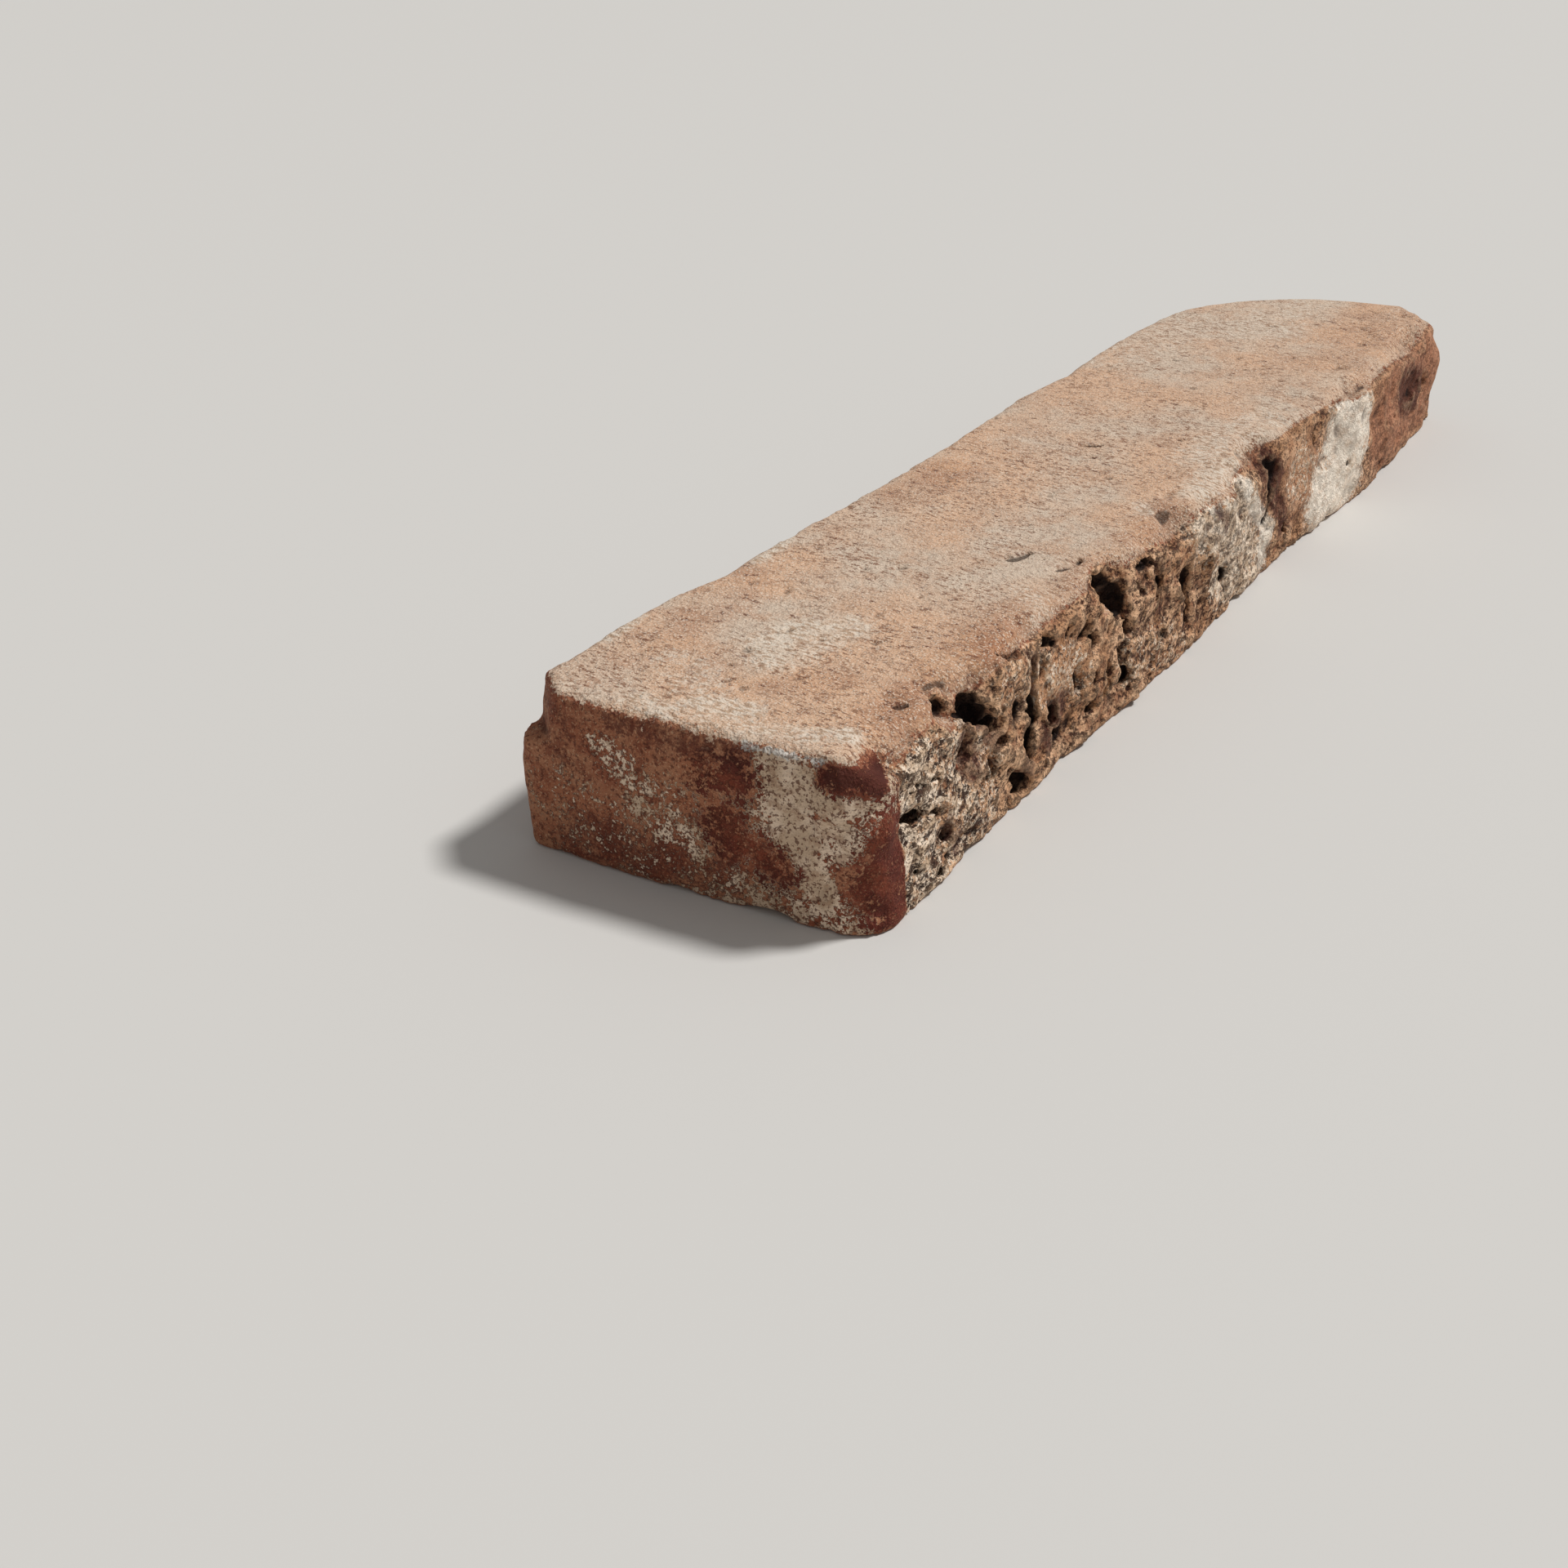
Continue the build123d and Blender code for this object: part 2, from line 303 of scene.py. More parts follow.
# On the worn face, along X and across Y
lime_strokes = [
    ((-98.5, 1.5), (-86, -0.5), 4.4, 0.62),
    ((-96, 5.6), (-88.5, 4), 2.8, 0.7),
    ((-116.5, 12), (-113.5, -15), 3.8, 0.22),
    ((-117.6, 9.4), (-117.2, 3.6), 2.6, 0.56),
    ((-114.2, 2.6), (-112.4, -3.2), 2.6, 0.74),
    ((-117.2, 0.4), (-116, -6), 2, 0.56),
    ((-114.6, -8), (-113.4, -12.4), 2.2, 0.58),
    ((-112.6, -14.4), (-111, -17.2), 1.9, 0.8),
    ((-106, 12), (-110, 4), 4, 0.45),
    ((-62.7, -15.2), (-66.5, -20.5), 2.4, 0.5),
    ((-69, -25.5), (-60, -25), 1.6, 0.45),
    ((-52, -24), (-44, -25), 1.6, 0.5),
    ((-25.5, -17.5), (-22.5, -15.5), 2, 0.42),
    ((-13, -20.5), (4, -21.5), 3.2, 0.7),
    ((2, -14.5), (34, -17.5), 4.6, 0.5),
    ((-106, 23.6), (-98, 24.4), 1.5, 0.7),
    ((-73, 21.6), (-65, 22), 1.5, 0.62),
    ((47, 21), (82, 17), 8, 0.36),
    ((82, 3), (110, 4), 9, 0.42),
    ((-70, 4), (40, 8), 14, 0.14),
]
rubbed_strokes = [
    ((-104, -20), (-66, -20), 5.5, 0.7),
    ((-84, -20.5), (-74, -22), 3.5, 1),
    ((-60, -22), (-20, -21), 4, 0.55),
    ((-40, 17), (-25, 16), 5, 0.6),
    ((-104, 16), (-80, 20), 5, 0.4),
    ((-112, 22), (-106, 6), 6, 0.3),
    ((70, -18), (112, -16), 9, 0.3),
    ((-104, -2), (-100, -9), 3, 0.4),
]

# On the broken side, along X and up Z
mortar_strokes = [
    ((-114, 20), (-113, 1), 6, 0.95),
    ((-106, 20), (-104, 1), 5.5, 0.82),
    ((-96, 17), (-94, 2), 5, 0.66),
    ((-88, 13), (-87, 2), 4, 0.5),
    ((-14, 22), (4, 14), 7, 0.95),
    ((-6, 10), (9.5, 4.5), 6.5, 0.85),
    ((32, 14), (44, 8), 6, 0.4),
    ((-44, 8), (-24, 4), 4, 0.4),
    ((-80, 20), (-60, 12), 5, 0.34),
]
crust_strokes = [
    ((55.6, 22), (55, 17), 4.6, 1),
    ((55.2, 14), (53.6, 8), 10.6, 1),
    ((47, 8), (43, 5), 5.5, 0.9),
    ((-12, 22.5), (-7, 21.4), 2, 0.6),
    ((1, 23.4), (4.8, 19.3), 1.7, 0.85),
    ((4.8, 19.3), (12.3, 13.1), 1.6, 0.8),
    ((12.3, 13.1), (17.3, 8.3), 1.8, 0.85),
    ((17, 8), (16.2, 3.5), 2.8, 0.85),
]
burnt_strokes = [
    ((80, 12), (112, 12), 12, 0.8),
    ((26, 12), (36, 12), 7, 0.3),
]
# Mostly painted shade: in the recess at X 16 to 25, down the slot at X -72 to -76 and about the holes; the
# far patch at X 91 to 101 is partly dark clay
dark_and_shade_side_strokes = [
    ((16.2, 21.6), (20.8, 15.6), 3.4, 1.15),
    ((21.2, 14.5), (24.8, 7.5), 2.8, 0.85),
    ((13.4, 16.6), (15, 13), 1.6, 0.5),
    ((91, 14.5), (101, 12), 5.4, 0.95),
    ((-64, 8.4), (-68.6, 6.6), 2.8, 1),
    ((-71.6, 19.4), (-72, 14), 1, 0.9),
    ((-74.2, 9), (-76, 4.6), 1.7, 0.9),
    ((-11, 20.8), (-7, 17), 1.2, 0.8),
    ((-33, 18.6), (-32, 13), 2.2, 0.6),
    ((-92, 17), (-91, 12), 2.2, 0.8),
    ((-87.4, 17), (-84.6, 13), 1.6, 0.7),
    ((-98.4, 7.8), (-95.4, 3), 1.4, 0.6),
]
calm_strokes = [
    ((55.6, 22), (55, 17), 4.6, 0.9),
    ((55.2, 14), (53.6, 8), 10.6, 0.9),
    ((47, 8), (43, 5), 5.5, 0.8),
    ((-70, 14), (-58, 13.4), 3.2, 0.95),
    ((-62, 18), (-50, 13), 3.4, 0.6),
    ((-14, 22), (6, 13), 8, 0.55),
    ((-4, 9), (14, 5), 6, 0.45),
    ((29, 19), (38, 10), 7.5, 0.9),
    ((74, 16), (116, 8), 11, 0.55),
    ((116, 20), (121, 16), 6, 0.9),
]


# Across a stroke, in reaches from its middle: an even one is whole up to the first and gone from the
# second, and a fading one loses this share of its strength with each reach
whole_to = 0.5
gone_from = 1.5
lost_with_reach = 0.5


def stroke_mask(strokes, across, up, fading=False):
    """How strongly any of the strokes covers each place of a face, evenly or fading from its middle."""
    cover = np.zeros(len(across))
    for start, end, reach, strength in strokes:
        run = np.subtract(end, start)
        from_start = np.stack([across, up], 1) - start
        share = np.clip(from_start @ run / (run @ run), 0, 1)
        away = np.linalg.norm(from_start - share[:, None] * run, axis=1) / reach
        if fading:
            profile = np.clip(1 - lost_with_reach * away, 0, 1)
        else:
            profile = smooth(gone_from, whole_to, away)
        cover = np.maximum(cover, strength * profile)
    return cover


# Relief of each face, as how far it is worn in

# Holes in the broken side: middle along X and Z, size along X and Z, and depth
holes = [
    (-104.4, 16.5, 3, 1, 2.2),
    (-101.9, 15.6, 2.6, 1.2, 2.2),
    (-107.6, 12.8, 2.4, 1.2, 2),
    (-105, 11.7, 3.4, 1.4, 3),
    (-101.8, 11, 2.6, 1.3, 2.6),
    (-106.8, 4.4, 1.5, 2, 1.4),
    (-98.1, 3, 2.4, 2.2, 1.6),
    (-71.5, 16.8, 2, 5.6, 5.4),
    (-72.2, 12, 2.8, 5.8, 5.8),
    (-74.6, 7.8, 4, 5.2, 5),
    (-76.6, 2.8, 5.2, 3.8, 4),
    (-56, 17.2, 3.2, 3.2, 2.8),
    (-53.4, 15.2, 2.6, 2.6, 2.4),
    (-42.8, 16.4, 2.2, 3.4, 2.4),
    (-21, 12.6, 6, 5.4, 5.5),
    (-45.2, 6.2, 4, 2.4, 2.4),
    (-67.2, 19.6, 3.4, 1.4, 1.8),
    (-44.6, 17.6, 6, 5.6, 5),
    (-97.1, 22.5, 2, 1.6, 1.4),
    (-89.6, 19.2, 6, 4.6, 4.6),
    (-87, 17.4, 4.4, 3.2, 4.2),
    (-84.8, 15.2, 3.4, 3, 3.4),
    (-83.2, 12.6, 2.6, 2.2, 1.8),
    (-85.6, 9.6, 1.4, 4, 1.8),
    (-89, 9.8, 1.4, 1.8, 1.2),
    (-83.2, 17.4, 1.1, 1.8, 1.2),
    (-80, 19, 1.6, 1.4, 1.2),
    (-98.6, 6.4, 2.2, 2.8, 1.6),
    (-100.8, 1.6, 2.4, 2, 1.4),
    (-68.9, 16.7, 1.9, 3.8, 2.2),
    (-66.8, 19.6, 1.8, 1.3, 1.5),
    (-65.2, 19, 1.5, 1.8, 1.5),
    (-65.4, 3.8, 7.8, 3.6, 4.2),
    (-69.4, 2.6, 2.8, 1.8, 1.8),
    (-58.4, 10.4, 2.8, 4.5, 2.8),
    (-54, 9.4, 2, 2.5, 2.2),
    (-49.8, 9, 2.8, 2.2, 2.2),
    (-51.6, 5.4, 2, 3.8, 2.5),
    (-54.6, 5.4, 2, 2.7, 2),
    (-48.2, 14.2, 2.2, 2.9, 2.2),
    (-42.6, 13.2, 2.8, 3.6, 2.5),
    (-43.8, 5.8, 3.5, 2.5, 2.5),
    (-39, 5.2, 3, 2, 2),
    (-36.4, 20.6, 5, 2, 2.5),
    (-32.8, 18.2, 3, 3.8, 1.8),
    (-31.6, 13.8, 2.2, 3.4, 2),
    (-30.8, 7.4, 3.2, 2.5, 2),
    (-26.8, 20.4, 3.5, 1.6, 1.5),
    (-20.4, 11.6, 4.2, 3.6, 4.5),
    (-19.4, 9, 1.8, 6.3, 2.2),
    (-14.8, 13.4, 2, 2.5, 1.8),
    (-8.4, 20, 1.6, 2.6, 1.6),
    (-6.8, 17.4, 1.4, 2.8, 1.4),
    (1.6, 21.2, 1.2, 1.4, 1),
    (6.6, 10.6, 1.6, 2.2, 1.4),
    (18.8, 18.2, 3.4, 4.4, 1.8),
    (38.6, 18.6, 1.4, 3.6, 1.2),
    (41.4, 16.4, 1.2, 2.8, 1),
    (97.2, 13.4, 8.6, 6, 1.3),
    (88, 17, 1.4, 3.4, 1.2),
]

# Small pits at random: how many, how far in from the two ends and from the face's two other edges, the
# range of their radius, how much more the widest have, and the range of their stretch
Pits = namedtuple("Pits", "count ends edges radius widest stretch")
side_pores = Pits(100, (12, 6), (0.8, 4.5), (0.3, 0.5), 0.5, (1, 1.8))
face_pits = Pits(80, (13, 6), (10, 4), (0.3, 0.45), 0.25, (0.8, 1.4))
back_pits = Pits(110, (5, 5), (5, 5), (0.35, 0.6), 1.1, (0.8, 1.6))

# Wide pits are rare: a random share to this power is what one has of the most
rarity = 6

# How deep pores and pits are, in radii, and how high above the sawn back its pits have their middles
pore_depths = (0.8, 1.6)
pit_depth = 0.9
back_pit_height = 0.1

# How round a rim is: on the broken side, with this much more for each millimetre that half a hole's width
# goes past a limit, on the worn face and on the sawn back
side_rim = 0.2
rim_growth = 0.25
wide_from = 3.5
face_rim = 0.12
back_rim = 0.1

# A slot up to twice this wide counts as a hole in the side, and not as its surface
bridged = 1.6

# Where along X the clay is bare, with many pores, and where crust hides them, and the shares of the most
bare_middle = -66
bare_reach = 34
crust_middle = 55
crust_reach = 14
pores_anywhere = 0.14
pores_where_bare = 0.86
pores_under_crust = 0.4
fewest_pores = 0.02

# Short cracks and marks in the worn face: a line across X and Y, a width and a depth
grooves = [
    ([(-53.4, -8.6), (-52, -9.4), (-49.6, -10.4)], 1.2, 0.9),
    ([(-52.2, -16.3), (-50.2, -17), (-47.4, -17.6)], 1.1, 0.8),
    ([(-60.9, -7.6), (-59.5, -8.5)], 0.9, 0.4),
    ([(-82.2, -20.6), (-79, -21.5), (-75.8, -21.7)], 1, 0.7),
    ([(-83.6, -20.5), (-82.6, -21.2)], 0.8, 0.5),
    ([(-100.6, -17.4), (-99.6, -18.2)], 0.9, 0.5),
    ([(-107.8, 0.4), (-107, -0.6)], 0.8, 0.4),
    ([(-108.2, -2.2), (-107.2, -3)], 0.9, 0.5),
    ([(-107.1, 3.5), (-106.4, 2.8)], 0.8, 0.4),
    ([(-102.6, -2.4), (-101.7, -3.4)], 0.8, 0.4),
    ([(-64.6, 3.2), (-64, 2.4)], 0.8, 0.4),
    ([(-2, 4), (0.6, 1)], 0.8, 0.4),
    ([(34, -6), (36.4, -8.4)], 0.8, 0.4),
    ([(71, 3), (73, 1)], 0.8, 0.4),
]

# The sawn back: a large round blade leaves slanting arcs a spacing apart along X, which wander. The back
# is worn in evenly, along the arcs and by grain, and its edges have chips that end above it.
blade_radius = 350.0
blade_below = 316.0
mark_spacing = 7.0
mark_wander = 1.2
even_depth = 0.02
mark_depth = 0.07
grain_depth = 0.025
chip_depth = 0.7
chip_heights = (1.4, 0.2)

# How strongly noise draws the broken side about: the most of it, how far in from the outermost place it
# starts and is whole, the width of the block that it works on, and the height where it is whole
warp_strength = 1.25
warp_starts = 14
warp_whole = 9
warp_block = 15
warp_height = 2.0

# Those noises, one for each axis, those that draw the holes' outlines about, and how far these may reach
warp = [noises((3.4, 11 + i, 0.7), (1.5, 21 + i, 0.32)) for i in range(3)]
hole_warp = [noises((2.6, 95 + i, 0.4), (1.3, 98 + i, 0.34), (0.9, 91 + i, 0.2)) for i in range(3)]
hole_margin = 2.0

# The radius of the wear along the arrises, and the seed of all pores and pits
wear_radius = 1.1
pit_seed = 5

# Broken clay, drawn out along X: its waves' height, its share of the arrises, its crumbs' sizes, each with
# an amount and a seed, the band about the surface that has crumbs, and how far noise draws them about
drawn_out = 1.5
wave_height = 0.16
arris_share = 0.6
crumb_sizes = ((4.0, 0.2, 81), (1.7, 0.14, 82), (0.9, 0.13, 83))
crumb_band = 2.6
least_share = 0.03
crumb_warp = 0.5


def side_depth():
    """The Y of the broken side's surface at each X and Z of the grid, with narrow slots bridged."""
    inside = solid[:, :len(axes[1]) // 2, :] < 0
    depth = axes[1][np.argmax(inside, axis=1)]
    reach = int(bridged / step)
    for axis in (0, 1):
        depth = np.min([np.roll(depth, shift, axis) for shift in range(-reach, reach + 1)], axis=0)
    return depth


def face_height():
    """The Z of the worn face at each X and Y of the grid."""
    inside = solid[:, :, ::-1] < 0
    return axes[2][::-1][np.argmax(inside, axis=2)]


side_y = side_depth()
face_z = face_height()


def row_at(axis, place):
    """The grid's row at a place in millimetres along an axis."""
    return int((place - axes[axis][0]) / step)


def stamp_hole(field, middle, radii, rim):
    """Takes an uneven egg-shaped hole with a rounded rim out of the field."""
    reach = np.array(radii) + hole_margin
    spans = []
    for axis, at, r in zip(axes, middle, reach):
        first = int(np.clip((at - r - axis[0]) / step, 0, len(axis) - 2))
        last = int(np.clip((at + r - axis[0]) / step + 2, first + 1, len(axis)))
        spans.append(slice(first, last))
    block = tuple(spans)
    parts = []
    for i in range(3):
        shape = [1, 1, 1]
        shape[i] = -1
        along = axes[i][spans[i]].reshape(shape) + hole_warp[i][block]
        parts.append((along - middle[i]) / radii[i])
    egg = (np.sqrt(sum(part * part for part in parts)) - 1) * min(radii)
    field[block] = smooth_max(field[block], -egg.astype(np.float32), rim)


def pit_place(pits, start, end, draws):
    """A random place along X, one across a face that runs from a start to an end, and a radius."""
    x = draws.uniform(low[0] + pits.ends[0], high[0] - pits.ends[1])
    across = draws.uniform(start + pits.edges[0], end - pits.edges[1])
    radius = draws.uniform(*pits.radius) + pits.widest * draws.random() ** rarity
    return x, across, radius


def pore_density(x):
    """How many pores the broken side has at a place along X, as a share of the most."""
    bare = math.exp(-((x - bare_middle) / bare_reach) ** 2)
    crust = math.exp(-((x - crust_middle) / crust_reach) ** 2)
    return max(pores_anywhere + pores_where_bare * bare - pores_under_crust * crust, fewest_pores)


def hole_places(draws):
    """The placed holes, then small pores at random, most of them where the clay is bare."""
    for x, z, wide, tall, deep in holes:
        yield x, z, wide / 2, tall / 2, deep
    made = 0
    while made < side_pores.count:
        x, z, radius = pit_place(side_pores, 0.0, thickness, draws)
        if draws.random() < pore_density(x):
            made += 1
            high_half = radius * draws.uniform(*side_pores.stretch)
            yield x, z, radius, high_half, radius * draws.uniform(*pore_depths)


def cut_side(field, draws):
    """Takes the holes and pores out of the broken side."""
    for x, z, wide, high_half, deep in hole_places(draws):
        y = side_y[row_at(0, x), row_at(2, z)]
        rim = side_rim + rim_growth * max(wide - wide_from, 0)
        stamp_hole(field, (x, y, z), (wide, deep, high_half), rim)


def cut_face(field, draws):
    """Takes the cracks and small pits out of the worn face."""
    def stamp(x, y, wide, across, deep):
        z = face_z[row_at(0, x), row_at(1, y)]
        stamp_hole(field, (x, y, z), (wide, across, deep), face_rim)

    for line, wide, deep in grooves:
        line = np.array(line)
        half = wide / 2
        for start, end in zip(line[:-1], line[1:]):
            count = int(np.linalg.norm(end - start) / step) + 2
            for x, y in start + (end - start) * np.linspace(0, 1, count)[:, None]:
                stamp(x, y, half, half, deep)
    for _ in range(face_pits.count):
        x, y, radius = pit_place(face_pits, low[1], high[1], draws)
        stretch = draws.uniform(*face_pits.stretch)
        stamp(x, y, radius * stretch, radius / stretch, radius * pit_depth)


def cut_back(field, draws):
    """Opens pores in the sawn back."""
    for _ in range(back_pits.count):
        x, y, radius = pit_place(back_pits, low[1], high[1], draws)
        stretch = draws.uniform(*back_pits.stretch)
        radii = (radius * stretch, radius / stretch, radius * pit_depth)
        stamp_hole(field, (x, y, back_pit_height), radii, back_rim)


def saw_marks():
    """How far the sawn back is scored, in slanting arcs, and chipped along its edges."""
    phase = X - np.sqrt(blade_radius ** 2 - (Y + blade_below) ** 2) + mark_wander * noise(14, 71)
    arcs = 0.5 + 0.5 * np.sin(2 * math.pi * phase / mark_spacing)
    scored = even_depth + mark_depth * arcs * (0.7 + 0.3 * noise(17, 72)) + grain_depth * noise(1.8, 73)
    chips = chip_depth * smooth(0.2, 0.9, noise(3.2, 74)) * arris * smooth(*chip_heights, Z)
    return np.maximum(scored, 0) * on_back + chips


def warped_side(field):
    """The broken side's cuts drawn about by noise, so that no flat facet or straight edge is left."""
    columns = row_at(1, low[1] + warp_block)
    block = (slice(None), slice(0, columns), slice(None))
    inward = smooth(low[1] + warp_starts, low[1] + warp_whole, Y[:, :columns])
    amount = warp_strength * inward * smooth(0.0, warp_height, Z)
    grids = np.broadcast_arrays(X, Y[:, :columns], Z)
    places = np.stack([(grid + warp[i][block] * amount).ravel() for i, grid in enumerate(grids)], 1)
    field[block] = sample(field, places).reshape(field[block].shape)
    return field


def roughness_left(strokes):
    """How rough the grid's places are: 1 but for where the strokes calm the broken side."""
    across, up = np.meshgrid(axes[0], axes[2], indexing="ij")
    cover = stroke_mask(strokes, across.ravel(), up.ravel()).reshape(across.shape)
    return (1 - cover).astype(np.float32)[:, None, :]


def crumble(field, rough):
    """Breaks the broken side and the arrises up into the facets of dry clay."""
    share = np.maximum(on_side, arris * arris_share) * off_back
    broken = (np.abs(field) < crumb_band) & (share > least_share)
    places = np.stack([np.broadcast_to(grid, field.shape)[broken] for grid in (X, Y, Z)], 1)
    places += np.stack([part[broken] for part in warp], 1) * crumb_warp
    places[:, 0] /= drawn_out
    crumbs = sum(amount * facets(places, size, seed) for size, amount, seed in crumb_sizes)
    field[broken] += crumbs * (share * rough)[broken]


def kept_in_box(field):
    """The field cut off at the solid's own box, which the visible mesh then doesn't leave."""
    box = np.maximum(np.maximum(low[0] - X, X - high[0]), np.maximum(low[1] - Y, Y - high[1]))
    box = np.maximum(box, np.maximum(low[2] - Z, Z - high[2]))
    return np.maximum(field, box)


def worn_field():
    """The solid's field with all its relief."""
    field = warped_side(solid.copy())
    soft = blur(field, wear_radius)
    field += np.maximum(soft - field, 0) * off_back

    draws = np.random.default_rng(pit_seed)
    cut_side(field, draws)
    cut_face(field, draws)
    cut_back(field, draws)

    rough = roughness_left(calm_strokes)
    crumble(field, rough)
    field += saw_marks()
    waves = wave_height * layered(4.0, 31, 4, 0.62, (drawn_out, 1, 1)) * rough
    field += waves * on_side * off_back
    top_relief = noises((22, 51, 0.14), (6, 52, 0.08), (1.6, 53, 0.06), base=0.16)
    field += np.maximum(top_relief, 0) * on_top
    end_relief = noises((9, 61, 0.16), (3, 62, 0.12), (1.2, 63, 0.07))
    field += end_relief * np.maximum(np.maximum(on_near, on_far), on_left) * (1 - on_side) * off_back
    return kept_in_box(field)


def surface(field, level):
    """The corners, in steps of the grid, and the quads of the surface where the field has a level."""
    grid = openvdb.FloatGrid(float(field.max()))
    grid.copyFromArray(np.ascontiguousarray(field))
    places, _, quads = grid.convertToPolygons(isovalue=level, adaptivity=0.0)
    return places, quads


def healed(field, reach):
    """The field's solid with every hole closed that is narrower than twice a reach in millimetres."""
    places, quads = surface(field, reach)
    wide = openvdb.FloatGrid.createLevelSetFromPolygons(
        places, quads=quads, transform=openvdb.createLinearTransform(voxelSize=1.0),
        halfWidth=float(healed_band))
    closed = np.empty(field.shape, np.float32)
    wide.copyToArray(closed, ijk=(0, 0, 0))
    return closed * np.float32(step) + np.float32(reach)


# The visible mesh

def largest_shell(places, quads):
    """Drops every loose bit and closed bubble, and keeps the one large shell."""
    label = np.arange(len(places))
    while True:
        lowest = label[quads].min(axis=1)
        fresh = label.copy()
        for i in range(4):
            np.minimum.at(fresh, quads[:, i], lowest)
        fresh = fresh[fresh]
        if np.array_equal(fresh, label):
            break
        label = fresh
    names, counts = np.unique(label, return_counts=True)
    kept = label == names[np.argmax(counts)]
    renumber = np.cumsum(kept) - 1
    return places[kept], renumber[quads[kept[quads[:, 0]]]]


def mesh_from(field, name):
    """A mesh object of the field's surface, in metres."""
    places, quads = surface(field, 0.0)
    places, quads = largest_shell(places.astype(float), quads.astype(np.int64))
    places = places * step + np.array([axis[0] for axis in axes])
    quads = quads[:, ::-1]
    mesh = bpy.data.meshes.new(name)
    mesh.vertices.add(len(places))
    mesh.vertices.foreach_set("co", (places * mm).astype(np.float32).ravel())
    mesh.loops.add(quads.size)
    mesh.loops.foreach_set("vertex_index", quads.astype(np.int32).ravel())
    mesh.polygons.add(len(quads))
    mesh.polygons.foreach_set("loop_start", np.arange(0, quads.size, 4, dtype=np.int32))
    mesh.update(calc_edges=True)
    thing = bpy.data.objects.new(name, mesh)
    bpy.context.scene.collection.objects.link(thing)
    return thing


def thin_out(thing):
    """Brings the mesh under the limit of triangles, and keeps most of them where it is rough."""
    triangles = 2 * len(thing.data.polygons)
    thinner = thing.modifiers.new("thinner", "DECIMATE")
    thinner.ratio = min(1, triangle_limit / triangles)
    bpy.context.view_layer.update()
    graph = bpy.context.evaluated_depsgraph_get()
    mesh = bpy.data.meshes.new_from_object(thing.evaluated_get(graph))
    thing.modifiers.clear()
    thing.data = mesh
    mesh.polygons.foreach_set("use_smooth", np.ones(len(mesh.polygons), bool))


def mesh_places(mesh):
    """The mesh's corners in millimetres."""
    places = np.empty(len(mesh.vertices) * 3, np.float32)
    mesh.vertices.foreach_get("co", places)
    return places.reshape(-1, 3) / mm


def set_mask(mesh, name, values):
    """Stores one number a corner, for the material to read."""
    mask = mesh.attributes.new(name, "FLOAT", "POINT")
    mask.data.foreach_set("value", np.clip(values, 0, 1).astype(np.float32))


# Masks. What is raised stands out of a blur of this radius, times a gain.
raised_blur = 0.9
raised_gain = 1.6

# Holes up to twice a bridge wide get painted shade from one depth under it, and the most at another, further
# down on the sides where they face up and are lit. The last two are in the worn face's share.
side_bridge = 3.0
face_bridge = 1.3
side_shade_depths = (0.35, 1.9)
more_if_lit = (0.75, 0.5)
face_shade_depths = (0.3, 0.7)
lit_bounds = (0.1, 0.5)
face_bounds = (0.8, 1.0)

# Where the near end's patches start and are whole, in its share, and the rubbed corner's and the sawn back's
end_bounds = (0.3, 0.7)
bare_bounds = (0.2, 0.7)
residue_bounds = (0.1, 0.4)
rubbed_bounds = (0.3, 0.8)
back_bounds = (0.6, 0.1)
top_blur = 1.1


def hole_shade_mask(places, field, top):
    """How much painted shade each place gets for lying in a hole."""
    under_side = -sample(healed(field, side_bridge), places)
    under_face = -sample(healed(field, face_bridge), places)
    lit = smooth(*lit_bounds, top)
    on_face = smooth(*face_bounds, top)
    start, end = [depth + more * lit for depth, more in zip(side_shade_depths, more_if_lit)]
    return smooth(start, end, under_side) * (1 - on_face) + smooth(*face_shade_depths, under_face) * on_face


def paint_masks(thing, field):
    """Writes the masks that the material reads onto the mesh."""
    mesh = thing.data
    places = mesh_places(mesh).astype(float)
    x, y, z = places.T
    top, near, side = [sample(part, places) for part in (on_top, on_near, on_side)]
    run = y - np.maximum(sample(np.broadcast_to(behind_near, field.shape), places), 0)
    on_end = smooth(*end_bounds, near)
    rubbed_corner = stroke_mask(rubbed_corner_strokes, run, z) * on_end
    dark_and_shade_end = stroke_mask(dark_and_shade_end_strokes, run, z) * on_end
    masks = {
        "raised": 0.5 + raised_gain * sample(blur(field, raised_blur) - field, places),
        # Painted shade in the holes, more where a place lies deeper
        "deep": hole_shade_mask(places, field, top) * (1 - near),
        "side": side,
        "back": smooth(*back_bounds, z),
        "calm": stroke_mask(calm_strokes, x, z) * side,
        "film": stroke_mask(film_strokes, run, z) * on_end,
        "bare": stroke_mask(bare_strokes, run, z, fading=True) * smooth(*bare_bounds, near),
        "residue": stroke_mask(residue_strokes, run, z) * smooth(*residue_bounds, near),
        "lime": stroke_mask(lime_strokes, x, y) * top,
        "rubbed": np.maximum(stroke_mask(rubbed_strokes, x, y) * top, rubbed_corner),
        "top": np.maximum(sample(blur(on_top, top_blur), places), smooth(*rubbed_bounds, rubbed_corner)),
        "mortar": stroke_mask(mortar_strokes, x, z) * side,
        "crust": stroke_mask(crust_strokes, x, z) * side,
        "burnt": stroke_mask(burnt_strokes, x, z) * side,
        # Dark clay and painted shade: on the near end's corner facet and along its bottom, and in the broken
        # side's recess, slot and holes
        "dark": np.maximum(dark_and_shade_end, stroke_mask(dark_and_shade_side_strokes, x, z) * side),
    }
    for name, values in masks.items():
        set_mask(mesh, name, values)


# The map that the looks can be baked through: each face laid flat at its place on a square picture.
# A chart takes the face's places along two axes, at a scale in pixels a millimetre, from a corner.

